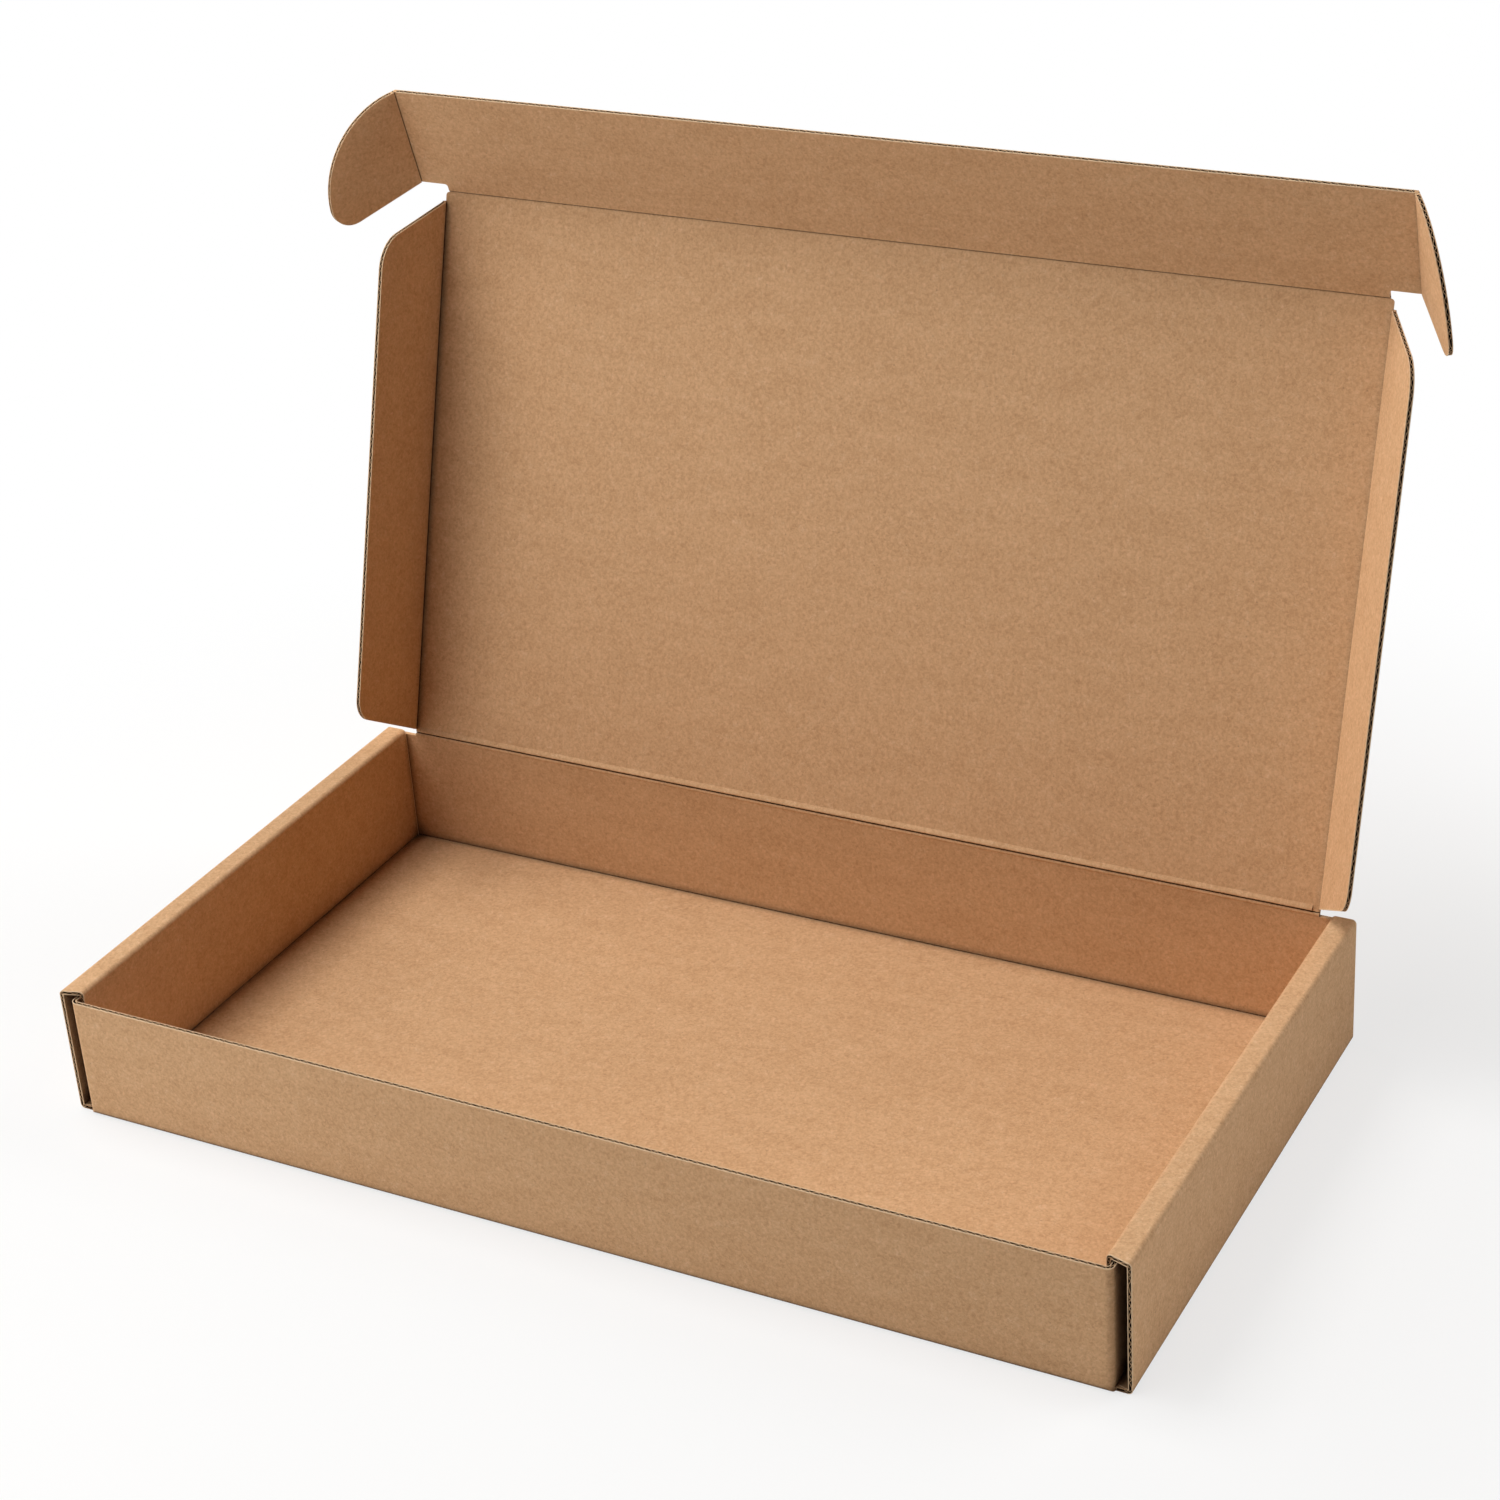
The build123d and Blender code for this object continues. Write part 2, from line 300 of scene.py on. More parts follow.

# %% [markdown]
# The brown itself is a short ramp, driven mostly by the flocks and a little by the clouds. In folds,
# in inner corners and deep in slots, where the board shuts out the light, the colour is darkened
# towards a near-black brown: this is painted shade. Ambient Occlusion finds those places: it says how
# much of a point's surroundings is clear within a few millimetres, whatever the camera does, and at
# every pose.

# %% Kraft liner board: its colour
painted_shade_reach = 8 * mm
cloud_share = 0.28
deep_brown = "#C4976C"
light_brown = "#E0B58A"
pale_fibre_colour = "#F3D6B2"
brown_fibre_colour = "#A97C52"
speck_colour = "#7C5735"
# painted shade: the near-black brown that folds, inner corners and slots are darkened towards
painted_slot_shade = "#34200F"
tone = add_node(
    kraft_tree,
    "ShaderNodeMath",
    {0: clouds.outputs["Fac"], 1: cloud_share, 2: flocks.outputs["Fac"]},
    operation="MULTIPLY_ADD",
)
brown = add_node(kraft_tree, "ShaderNodeValToRGB", {"Fac": tone.outputs[0]})
brown.color_ramp.elements[0].position = 0.38
brown.color_ramp.elements[0].color = linear(deep_brown)
brown.color_ramp.elements[1].position = 0.88
brown.color_ramp.elements[1].color = linear(light_brown)
with_pale = add_node(
    kraft_tree,
    "ShaderNodeMix",
    {
        mix_share: pale_fibres.outputs[0],
        mix_under: brown.outputs["Color"],
        mix_over: linear(pale_fibre_colour),
    },
    data_type="RGBA",
)
with_brown = add_node(
    kraft_tree,
    "ShaderNodeMix",
    {
        mix_share: brown_fibres.outputs[0],
        mix_under: with_pale.outputs[mix_result],
        mix_over: linear(brown_fibre_colour),
    },
    data_type="RGBA",
)
with_specks = add_node(
    kraft_tree,
    "ShaderNodeMix",
    {
        mix_share: dark_specks.outputs[0],
        mix_under: with_brown.outputs[mix_result],
        mix_over: linear(speck_colour),
    },
    data_type="RGBA",
)
# painted shade: the colour darkens where Ambient Occlusion finds the board closed round a point
clear = add_node(kraft_tree, "ShaderNodeAmbientOcclusion", {"Distance": painted_shade_reach}, samples=4)
unshaded_share = add_node(
    kraft_tree,
    "ShaderNodeMapRange",
    {"Value": clear.outputs["AO"], "From Min": 0.25, "From Max": 0.66},
)
liner_colour_with_painted_shade = add_node(
    kraft_tree,
    "ShaderNodeMix",
    {
        mix_share: unshaded_share.outputs[0],
        mix_under: linear(painted_slot_shade),
        mix_over: with_specks.outputs[mix_result],
    },
    data_type="RGBA",
)
print("kraft brown from", deep_brown, "to", light_brown)

# %% [markdown]
# The surface is dry and matt. The flocks that colour the paper also raise it a little, so they drive
# a faint bump, and the gloss is low, because bare fibres scatter the light that they reflect. The
# solids keep their shape and only take this material.

# %% Kraft liner board: its surface
tooth_depth = 0.06 * mm
tooth = add_node(
    kraft_tree,
    "ShaderNodeBump",
    {"Height": flocks.outputs["Fac"], "Strength": 0.3, "Distance": tooth_depth},
)
kraft_surface = add_node(
    kraft_tree,
    "ShaderNodeBsdfPrincipled",
    {
        "Base Color": liner_colour_with_painted_shade.outputs[mix_result],
        "Roughness": 0.86,
        "Specular IOR Level": 0.22,
        "IOR": 1.5,
        "Normal": tooth.outputs["Normal"],
    },
)
add_node(kraft_tree, "ShaderNodeOutputMaterial", {"Surface": kraft_surface.outputs[0]})
for node in frame["nodes"].values():
    node.data.materials.clear()
    node.data.materials.append(kraft_liner)
print("kraft board on", len(frame["nodes"]), "solids")

# %% [markdown]
# Where a knife cut the board, the sandwich shows: two pale lines, which are the raw edges of the
# liners, and between them a wave of thinner paper with hollows on both sides. One material serves all
# of it. Its colour follows an attribute named tone that the geometry carries: 0 deep in the hollows,
# which are painted near-black as painted shade, 1 on the raw edge of a liner, with the wavy paper in
# between.

# %% Cut edge of the board
raw_edge_fuzz = 0.8 * mm
fuzz_share = 0.16


def make_cut_edge():
    """Raw cut paper: pale at the liners, brown on the fluting, and painted near-black shade in the
    hollows.
    """
    material = new_material("cut_corrugated_edge")
    tree = material.node_tree
    tone = add_node(tree, "ShaderNodeAttribute", attribute_name="tone")
    place = add_node(tree, "ShaderNodeTexCoord").outputs["Object"]
    fuzz = add_node(
        tree, "ShaderNodeTexNoise", {"Vector": place, "Scale": 1 / raw_edge_fuzz, "Detail": 2}
    )
    uneven = add_node(
        tree,
        "ShaderNodeMath",
        {0: fuzz.outputs["Fac"], 1: fuzz_share, 2: tone.outputs["Fac"]},
        operation="MULTIPLY_ADD",
    )
    paper = add_node(tree, "ShaderNodeValToRGB", {"Fac": uneven.outputs[0]})
    ramp = paper.color_ramp
    ramp.elements[0].position = 0.15
    # painted shade: the near-black at the low end of the ramp stands for the shade in the hollows
    ramp.elements[0].color = linear("#0E0703")
    ramp.elements[1].position = 1.0
    ramp.elements[1].color = linear("#EBCDA8")
    middle = ramp.elements.new(0.6)
    middle.color = linear("#B98C62")
    shader = add_node(
        tree,
        "ShaderNodeBsdfPrincipled",
        {"Base Color": paper.outputs["Color"], "Roughness": 0.9, "Specular IOR Level": 0.1},
    )
    add_node(tree, "ShaderNodeOutputMaterial", {"Surface": shader.outputs[0]})
    return material


cut_edge = make_cut_edge()
print("material:", cut_edge.name)

# %% [markdown]
# The fluting repeats about three hundred times a metre, so a node tree makes it, from a bare line
# along the middle of a cut edge. Two attributes on that line say which way is across the board and
# which way is into it. Everything in the edge is a strip that follows the line, so the tree's
# inputs are the sizes of five strips: the raw rim of a liner, the lining of the hollow and its floor,
# which are dark sheets of painted shade, the fluted paper, painted dark as painted shade, and the
# lighter crest where the knife went through that paper.

# %% Sizes of the strips in a cut edge
flute_pitch = 3.3 * mm
wave_steps = 12
edge_seed = 7.0
# For each strip: how far from the board's middle, how far below the cut, how wide and how deep
strip_sizes = {
    "Rim": {"Across": 0.75 * mm, "Below": 0.14 * mm, "Width": 0.34 * mm, "Depth": 0.36 * mm},
    "Lining": {"Across": 0.51 * mm, "Below": 0.74 * mm, "Width": 0.08 * mm, "Depth": 0.80 * mm},
    "Floor": {"Across": 0.0, "Below": 1.15 * mm, "Width": 1.10 * mm, "Depth": 0.10 * mm},
    "Flute": {"Across": 0.42 * mm, "Below": 0.70 * mm, "Width": 0.20 * mm, "Depth": 0.80 * mm},
    "Crest": {"Across": 0.42 * mm, "Below": 0.16 * mm, "Width": 0.20 * mm, "Depth": 0.28 * mm},
}
# Tones 0 and 0.05 are painted shade for the lining, the floor and the fluted paper below its crest; the
# rims and crests keep the paper's own pale brown.
paper_and_painted_shade_tones = {"Rim": 0.86, "Lining": 0.0, "Floor": 0.0, "Flute": 0.05, "Crest": 0.66}
print("fluting:", round(1 / flute_pitch), "waves a metre")

# %% [markdown]
# A tree's inputs are its named sizes. Each strip has four of them, so a loop puts their names
# together here, and the modifier that carries the tree fills them in later.

# %% Node tree for a cut edge: its inputs
fluted_edge = bpy.data.node_groups.new("fluted_edge", "GeometryNodeTree")
edge_inputs = {"Pitch": flute_pitch, "Seed": edge_seed}
for strip, sizes in strip_sizes.items():
    edge_inputs |= {f"{strip} {size}": length for size, length in sizes.items()}
fluted_edge.interface.new_socket("Geometry", in_out="INPUT", socket_type="NodeSocketGeometry")
for name in edge_inputs:
    fluted_edge.interface.new_socket(name, in_out="INPUT", socket_type="NodeSocketFloat")
fluted_edge.interface.new_socket("Material", in_out="INPUT", socket_type="NodeSocketMaterial")
fluted_edge.interface.new_socket("Geometry", in_out="OUTPUT", socket_type="NodeSocketGeometry")
given = add_node(fluted_edge, "NodeGroupInput").outputs
print("inputs:", ", ".join(edge_inputs))

# %% [markdown]
# The straight strips keep the few points of the line. The wave needs many more, evenly spaced, so
# the line is resampled for it: a dozen points to each wave are enough for a smooth curve. A sine of
# the distance along the line gives the swing from side to side. A little noise in that distance,
# with a fixed seed, makes the waves as uneven as real ones are.

# %% Node tree for a cut edge: the line and its wave
# How quickly the waves stray from even spacing, and by how many waves at most
stray_rate = 0.45
stray_most = 1.2
plain_line = add_node(fluted_edge, "GeometryNodeMeshToCurve", {"Mesh": given["Geometry"]}).outputs[0]
wave_step = add_node(
    fluted_edge, "ShaderNodeMath", {0: given["Pitch"], 1: wave_steps}, operation="DIVIDE"
)
even_line = add_node(
    fluted_edge,
    "GeometryNodeResampleCurve",
    {"Curve": plain_line, "Length": wave_step.outputs[0]},
    mode="LENGTH",
).outputs[0]
along_line = add_node(fluted_edge, "GeometryNodeSplineParameter").outputs["Length"]
waves = add_node(fluted_edge, "ShaderNodeMath", {0: along_line, 1: given["Pitch"]}, operation="DIVIDE")
stray = add_node(
    fluted_edge,
    "ShaderNodeMath",
    {0: waves.outputs[0], 1: stray_rate, 2: given["Seed"]},
    operation="MULTIPLY_ADD",
)
noise = add_node(
    fluted_edge,
    "ShaderNodeTexNoise",
    {"W": stray.outputs[0], "Scale": 1.0, "Detail": 1},
    noise_dimensions="1D",
)
drift = add_node(
    fluted_edge,
    "ShaderNodeMath",
    {0: noise.outputs["Fac"], 1: stray_most, 2: waves.outputs[0]},
    operation="MULTIPLY_ADD",
)
wave_turn = add_node(
    fluted_edge, "ShaderNodeMath", {0: drift.outputs[0], 1: math.tau}, operation="MULTIPLY"
)
swing = add_node(fluted_edge, "ShaderNodeMath", {0: wave_turn.outputs[0]}, operation="SINE").outputs[0]
print("nodes so far:", len(fluted_edge.nodes))

# %% [markdown]
# Each strip is the line moved across and into the board and swept with a small rectangle. The
# curve's normal is set to the way in, so that the rectangle's own X is depth and its Y is width.
# The share says where across the board the strip lies: 1 or -1 beside a liner, 0 in the middle,
# and for the fluted paper it is the swing of the wave.

# %% Node tree for a cut edge: its strips
edge_ways = {}
for way in ("across", "inward"):
    read = add_node(
        fluted_edge, "GeometryNodeInputNamedAttribute", {"Name": way}, data_type="FLOAT_VECTOR"
    )
    unit = add_node(
        fluted_edge, "ShaderNodeVectorMath", {0: read.outputs["Attribute"]}, operation="NORMALIZE"
    )
    edge_ways[way] = unit.outputs[0]


def add_strip(strip, line, share):
    """One strip of the cut edge: the line moved into place, swept, and given its tone."""
    reach = add_node(
        fluted_edge, "ShaderNodeMath", {0: given[strip + " Across"], 1: share}, operation="MULTIPLY"
    )
    below = add_node(
        fluted_edge,
        "ShaderNodeVectorMath",
        {0: edge_ways["inward"], 1: given[strip + " Below"]},
        operation="MULTIPLY",
    )
    shift = add_node(
        fluted_edge,
        "ShaderNodeVectorMath",
        {0: edge_ways["across"], 1: reach.outputs[0], 2: below.outputs[0]},
        operation="MULTIPLY_ADD",
    )
    moved = add_node(
        fluted_edge, "GeometryNodeSetPosition", {"Geometry": line, "Offset": shift.outputs[0]}
    )
    turned = add_node(
        fluted_edge,
        "GeometryNodeSetCurveNormal",
        {"Curve": moved.outputs[0], "Normal": edge_ways["inward"]},
        mode="FREE",
    )
    section = add_node(
        fluted_edge,
        "GeometryNodeCurvePrimitiveQuadrilateral",
        {"Width": given[strip + " Depth"], "Height": given[strip + " Width"]},
    )
    swept = add_node(
        fluted_edge,
        "GeometryNodeCurveToMesh",
        {"Curve": turned.outputs[0], "Profile Curve": section.outputs[0], "Fill Caps": True},
    )
    toned = add_node(
        fluted_edge,
        "GeometryNodeStoreNamedAttribute",
        {"Geometry": swept.outputs[0], "Name": "tone", "Value": paper_and_painted_shade_tones[strip]},
        data_type="FLOAT",
    )
    return toned.outputs[0]


strips = [add_strip("Floor", plain_line, 0.0)]
strips += [add_strip(strip, plain_line, share) for strip in ("Rim", "Lining") for share in (-1.0, 1.0)]
strips += [add_strip(strip, even_line, swing) for strip in ("Flute", "Crest")]
print("strips:", len(strips))

# %% [markdown]
# The strips are joined, made real and given their material inside the tree, so that the mesh that
# comes out of it is complete.

# %% Node tree for a cut edge: its end
joined = add_node(fluted_edge, "GeometryNodeJoinGeometry")
for strip in strips:
    fluted_edge.links.new(strip, joined.inputs[0])
real = add_node(fluted_edge, "GeometryNodeRealizeInstances", {"Geometry": joined.outputs[0]})
dressed = add_node(
    fluted_edge,
    "GeometryNodeSetMaterial",
    {"Geometry": real.outputs[0], "Material": given["Material"]},
)
add_node(fluted_edge, "NodeGroupOutput", {"Geometry": dressed.outputs[0]})
print("tree:", fluted_edge.name, "with", len(fluted_edge.nodes), "nodes")

# %% [markdown]
# Now the lines themselves. A panel's cut edge is drawn flat, with only the points that its shape
# needs, and rounded by formula: an arc at a corner, or an arc that leaves a line smoothly and ends
# at a given point. Rounded corners also draw the bent board of the tray, seen from above or from
# the front.

# %% Helpers for outlines
arc_steps = 14


def arc_points(middle, spoke, turn):
    """Points on the circle that a spoke from the middle draws as it turns."""
    turns = [Matrix.Rotation(turn * i / arc_steps, 2) for i in range(arc_steps + 1)]
    return [middle + step @ spoke for step in turns]


def round_corner(before, corner, after, radius):
    """Points of the arc that rounds a corner."""
    corner = Vector(corner)
    to_before = (Vector(before) - corner).normalized()
    to_after = (Vector(after) - corner).normalized()
    half_angle = to_before.angle(to_after) / 2
    middle = corner + (to_before + to_after).normalized() * radius / math.sin(half_angle)
    setback = radius / math.tan(half_angle)
    first = corner + to_before * setback - middle
    last = corner + to_after * setback - middle
    return arc_points(middle, first, -first.angle_signed(last))


def tangent_arc(start, heading, end):
    """Points of the arc that leaves start along heading and reaches end, and its heading there."""
    start, heading, end = Vector(start), Vector(heading).normalized(), Vector(end)
    side = Vector((-heading.y, heading.x))
    chord = end - start
    radius = chord.length_squared / (2 * chord.dot(side))
    middle = start + side * radius
    turn = -2 * heading.angle_signed(chord)
    return arc_points(middle, start - middle, turn), Matrix.Rotation(turn, 2) @ heading


unit_corner = round_corner((1, 0), (0, 0), (0, 1), 0.5)
print("middle of a rounded unit corner:", [round(c, 3) for c in unit_corner[arc_steps // 2]])

# %% [markdown]
# An edge line is kept as a list of points, each with its two directions. For a flat panel the board
# is crossed along the panel's Z, and the way in is at right angles to the line. For the bent board
# of the tray it is the other way round: the way in is fixed and the way across turns with the line.

# %% Lines with their directions


def heading_at(points, i):
    """The direction of a line at one of its points."""
    before = points[max(i - 1, 0)]
    after = points[min(i + 1, len(points) - 1)]
    return (after - before).normalized()


def panel_line(name, points, inside):
    """A flat panel's cut edge: (place, across, inward) at each point, in the box's frame."""
    turn = panel_frames[name].to_3x3()
    line = []
    for i, point in enumerate(points):
        heading = heading_at(points, i)
        inward = Vector((-heading.y, heading.x))
        if inward.dot(Vector(inside) - point) < 0:
            inward.negate()
        place = panel_frames[name] @ point.to_3d()
        line.append((place, turn @ Vector((0, 0, 1)), turn @ inward.to_3d()))
    return line


def bent_line(points, lift, inward):
    """A bent board's cut edge: points of its middle, lifted into space, all cut along one direction."""
    line = []
    for i, point in enumerate(points):
        heading = heading_at(points, i)
        across = lift(Vector((-heading.y, heading.x))) - lift(Vector((0, 0)))
        line.append((lift(point), across, Vector(inward)))
    return line


print("panels with a frame of their own:", ", ".join(panel_frames))

# %% [markdown]
# On the tray, the front wall's top edge runs round the bend at each end and on along the end flaps,
# which lie inside the side walls. The cut ends of each side wall show its whole section:
# out along the base, up the outer wall, over the strip and down the inner wall. Their front ends
# slant, because the strip is cut shorter towards the inside.

# %% Cut edges of the tray


def front_wall_line():
    """The front wall's top edge, round the bend at each end and along the end flaps."""
    wall = -half_depth + half_board
    end = wall_end - half_board
    points = [Vector((-end, -end_flap_reach))]
    for side, before, after in ((-1, (-end, 0), (0, wall)), (1, (0, wall), (end, 0))):
        points += round_corner(before, (side * end, wall), after, end_bend_radius - half_board)
    points += [Vector((end, -end_flap_reach))]
    return bent_line(points, lambda p: Vector((p.x, p.y, front_wall_height)), (0, 0, -1))


def side_wall_line(side, end):
    """The cut end of a side wall: out along the base, up the outer wall, over the strip and down."""
    outer = half_width - half_board
    inner = inner_wall_face + half_board
    top = side_height - half_board
    corner_radius = fold_radius - half_board

    def lift(point):
        slant = 0
        if end < 0:
            share = (half_width - board - abs(point.x)) / (half_width - board - inner_wall_face)
            slant = strip_slant * min(max(share, 0), 1)
        return Vector((point.x, end * side_end + slant, point.y))

    points = [Vector((side * (wall_end + panel_gap), half_board))]
    low = (side * outer, half_board)
    points += round_corner((0, half_board), low, (side * outer, top), corner_radius)
    points += round_corner(low, (side * outer, top), (0, top), corner_radius)
    points += round_corner((side * outer, top), (side * inner, top), (side * inner, 0), corner_radius)
    points += [Vector((side * inner, board))]
    return bent_line(points, lift, (0, -end, 0))


edge_lines = {
    "tray": [front_wall_line()] + [side_wall_line(side, end) for side in (-1, 1) for end in (-1, 1)],
}
print("tray cut edges:", len(edge_lines["tray"]))

# %% [markdown]
# The lid's flaps and ears are flat, so each needs only its free edge, from one end of its fold round
# to the other. It starts a little way along, where the groove in the edge starts.

# %% Cut edges of the lid's flaps and ears


def side_flap_line(side, name):
    """The tapered rear end, the long edge and the tapered front end of one of the lid's side flaps."""
    rear = Vector((side * panel_start, side_flap_rear))
    rear_corner = Vector((side * side_flap_width, side_flap_rear + side_flap_rear_taper))
    front_corner = Vector((side * side_flap_width, side_flap_front - side_flap_front_taper))
    front = Vector((side * panel_start, side_flap_front))
    points = [rear.lerp(rear_corner, edge_recess / side_flap_width)]
    points += round_corner(rear, rear_corner, front_corner, side_flap_rear_corner)
    points += round_corner(rear_corner, front_corner, front, side_flap_front_corner)
    points += [front.lerp(front_corner, edge_recess / side_flap_width)]
    return panel_line(name, points, (0, lid_length / 2))


def ear_edge_line(side, name):
    """The straight near edge, the rounded tip and the long far curve of one of the ears."""
    root = Vector((side * panel_start, shoulder_drop))
    tip = Vector((side * ear_tip_share * ear_length, ear_tip))
    widest = Vector((side * ear_length, ear_widest))
    fold_end = Vector((side * panel_start, front_flap_depth))
    tip_arc, heading = tangent_arc(tip, tip - root, widest)
    far_arc, heading = tangent_arc(widest, heading, fold_end)
    points = [root.lerp(tip, edge_recess / ear_length)] + tip_arc + far_arc[1:]
    return panel_line(name, points, (0, front_flap_depth / 2))


def front_flap_line():
    """The front flap's free edge, from ear to ear."""
    reach = ear_line - half_board
    points = [Vector((x, front_flap_depth)) for x in (-reach, 0, reach)]
    return panel_line("front_flap", points, (0, 0))


for side, hand in ((-1, "left"), (1, "right")):
    edge_lines[hand + "_flap"] = [side_flap_line(side, hand + "_flap")]
edge_lines["front_flap"] = [front_flap_line()]
for side, hand in ((-1, "left"), (1, "right")):
    edge_lines[hand + "_ear"] = [ear_edge_line(side, hand + "_ear")]
for body, lines in edge_lines.items():
    print(body, "cut edges:", len(lines), "with", sum(len(line) for line in lines), "points")

# %% [markdown]
# One object per moving body carries its lines through the tree. The finished mesh replaces the
# lines, so nothing live is left on it, and it rides on the body whose edge it is.

# %% Fluted edges


def make_fluted_edges(body, lines):
    """All the cut edges of one body as one mesh."""
    mesh = bpy.data.meshes.new(body + "_fluting")
    places = [place for line in lines for place, _, _ in line]
    edges = []
    start = 0
    for line in lines:
        edges += [(start + i, start + i + 1) for i in range(len(line) - 1)]
        start += len(line)
    mesh.from_pydata(places, edges, [])
    for index, name in ((1, "across"), (2, "inward")):
        attribute = mesh.attributes.new(name, "FLOAT_VECTOR", "POINT")
        ways = [point[index] for line in lines for point in line]
        attribute.data.foreach_set("vector", [c for way in ways for c in way])
    piece = bpy.data.objects.new(body + "_fluting", mesh)
    bpy.context.scene.collection.objects.link(piece)
    modifier = piece.modifiers.new("fluting", "NODES")
    modifier.node_group = fluted_edge
    values = edge_inputs | {"Material": cut_edge}
    for item in fluted_edge.interface.items_tree:
        if item.in_out == "INPUT" and item.name in values:
            modifier[item.identifier] = values[item.name]
    evaluated = piece.evaluated_get(bpy.context.evaluated_depsgraph_get())
    finished = bpy.data.meshes.new_from_object(evaluated)
    piece.modifiers.remove(modifier)
    piece.data = finished
    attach(piece, body)
    return piece


fluting = {body: make_fluted_edges(body, lines) for body, lines in edge_lines.items()}
for body, piece in fluting.items():
    print(piece.name, len(piece.data.polygons), "faces")

# %% [markdown]
# At a fold that moves, the outer liner runs on from one panel to the next, round a bend as tight as
# the board is thick. Two rigid panels alone would leave a slit there. So each fold gets its own
# strip of liner, drawn as a closed section and run along the fold.

# %% Sections of liner
liner_proud = 0.03 * mm
liner_overlap = 2.2 * mm
liner_height = half_board + liner_proud


def run_along(name, ring, middle, along, reach):
    """A closed section run along a fold, between the two distances in reach."""
    mesh = bmesh.new()
    loops = [
        [mesh.verts.new(Vector(middle) + Vector(along) * distance + offset) for offset in ring]
        for distance in reach
    ]
    for i in range(len(ring)):
        j = (i + 1) % len(ring)
        mesh.faces.new((loops[0][i], loops[0][j], loops[1][j], loops[1][i]))
    mesh.faces.new(loops[0][::-1])
    mesh.faces.new(loops[1])
    bmesh.ops.recalc_face_normals(mesh, faces=mesh.faces)
    data = bpy.data.meshes.new(name)
    mesh.to_mesh(data)
    mesh.free()
    data.materials.append(kraft_liner)
    piece = bpy.data.objects.new(name, data)
    bpy.context.scene.collection.objects.link(piece)
    return piece


print(f"liner stands {1000 * liner_proud:.2f} mm proud and overlaps by {1000 * liner_overlap:.1f} mm")

# %% [markdown]
# The lid's hinge bends both ways: forward when the box is closed, and backward as in the picture.
# Its liner is drawn as one piece, from the back wall round onto the lid, at the pose in which they
# stand.

# %% Liner at the lid's hinge
hinge_out = Vector((0, 0, 1))
hinge_outer = Vector((0, 1, 0))
lid_out = lid_frame.to_3x3().col[1]
lid_outer = -lid_frame.to_3x3().col[2]
bend_start = half_board / 2


def hinge_section(height):
    """One face of the hinge's liner, from the back wall to the lid."""
    return [
        hinge_outer * height - hinge_out * liner_overlap,
        hinge_outer * height - hinge_out * bend_start,
        lid_outer * height + lid_out * bend_start,
        lid_outer * height + lid_out * liner_overlap,
    ]


hinge_ring = hinge_section(liner_height) + hinge_section(half_core)[::-1]
across_lid = Vector((1, 0, 0))
hinge_liner = run_along(
    "lid_hinge_liner", hinge_ring, hinge.translation, across_lid, (-lid_half, lid_half)
)
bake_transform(hinge_liner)
print("hinge liner:", len(hinge_liner.data.polygons), "faces")

# %% [markdown]
# The other folds only ever bend inward, so they need nothing that stretches. A round bend stays on
# the first panel, and a flat strip on the second touches that bend where the two run in line. As
# the flap swings, the strip rolls round the bend and the surface stays whole at every angle.

# %% Liner at the flaps' folds
most_folded = 130
bend_rows = 10
strip_underside = half_board + liner_proud / 3


def make_fold_liner(fold, parent, child, middle, along, out, outer, reach):
    """The liner over one fold: a bend that rides on the parent, and a strip on the child.

    middle is a point on the fold, along its direction, out the way from parent to child, outer the
    way to the outside of the box, and reach the distances of the fold's two ends from middle.
    """
    angle = math.radians(fold_angles[child])
    far_out = out * math.cos(angle) - outer * math.sin(angle)
    far_outer = outer * math.cos(angle) + out * math.sin(angle)
    turns = [math.radians(most_folded) * row / bend_rows for row in range(bend_rows + 1)]
    arc = [outer * math.cos(turn) + out * math.sin(turn) for turn in turns]
    bend_ring = [outer * liner_height - out * liner_overlap]
    bend_ring += [way * liner_height for way in arc]
    bend_ring += [way * half_core for way in arc[::-1]]
    bend_ring += [outer * half_core - out * liner_overlap]
    strip_ring = [
        far_outer * liner_height,
        far_outer * liner_height + far_out * liner_overlap,
        far_outer * strip_underside + far_out * liner_overlap,
        far_outer * strip_underside,
    ]
    bend = run_along(fold + "_bend", bend_ring, middle, along, reach)
    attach(bend, parent)
    strip = run_along(fold + "_liner", strip_ring, middle, along, reach)
    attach(strip, child)
    return [bend, strip]


flap_out = front_flap_frame.to_3x3().col[1]
flap_outer = -front_flap_frame.to_3x3().col[2]
crease_middle = front_flap_frame.translation
fold_liners = make_fold_liner(
    "front_flap", "lid", "front_flap", crease_middle, across_lid,
    lid_out, lid_outer, (-crease_half, crease_half),
)
for side, hand in ((-1, "left"), (1, "right")):
    flap = hand + "_flap"
    ear = hand + "_ear"
    fold_liners += make_fold_liner(
        flap, "lid", flap, panel_frames[flap].translation, lid_out,
        side * across_lid, lid_outer, (side_flap_rear, side_flap_front),
    )
    fold_liners += make_fold_liner(
        ear, "front_flap", ear, panel_frames[ear].translation, flap_out,
        side * across_lid, flap_outer, (shoulder_drop, front_flap_depth),
    )
print("fold liners:", ", ".join(piece.name for piece in fold_liners))

# %% [markdown]
# On the inside, the creased board swells into a low ridge on each side of the hinge, and together
# they show as a pale line. On the lid it is a skewed sine, steep below and gentle above, so that its
# long upper side leans back and catches the light. On the back wall it is an arc a little smaller
# than the gap that the lid swings in, so nothing touches it at any angle.

# %% Ridges along the hinge
ridge_foot = panel_start + liner_proud
ridge_width = 2.6 * mm
ridge_rise = 0.75 * mm
ridge_skew = 0.45
ridge_rows = 12
flap_clearance = 3 * mm
wall_ridge_radius = 1.08 * mm
wall_ridge_start = math.radians(35)


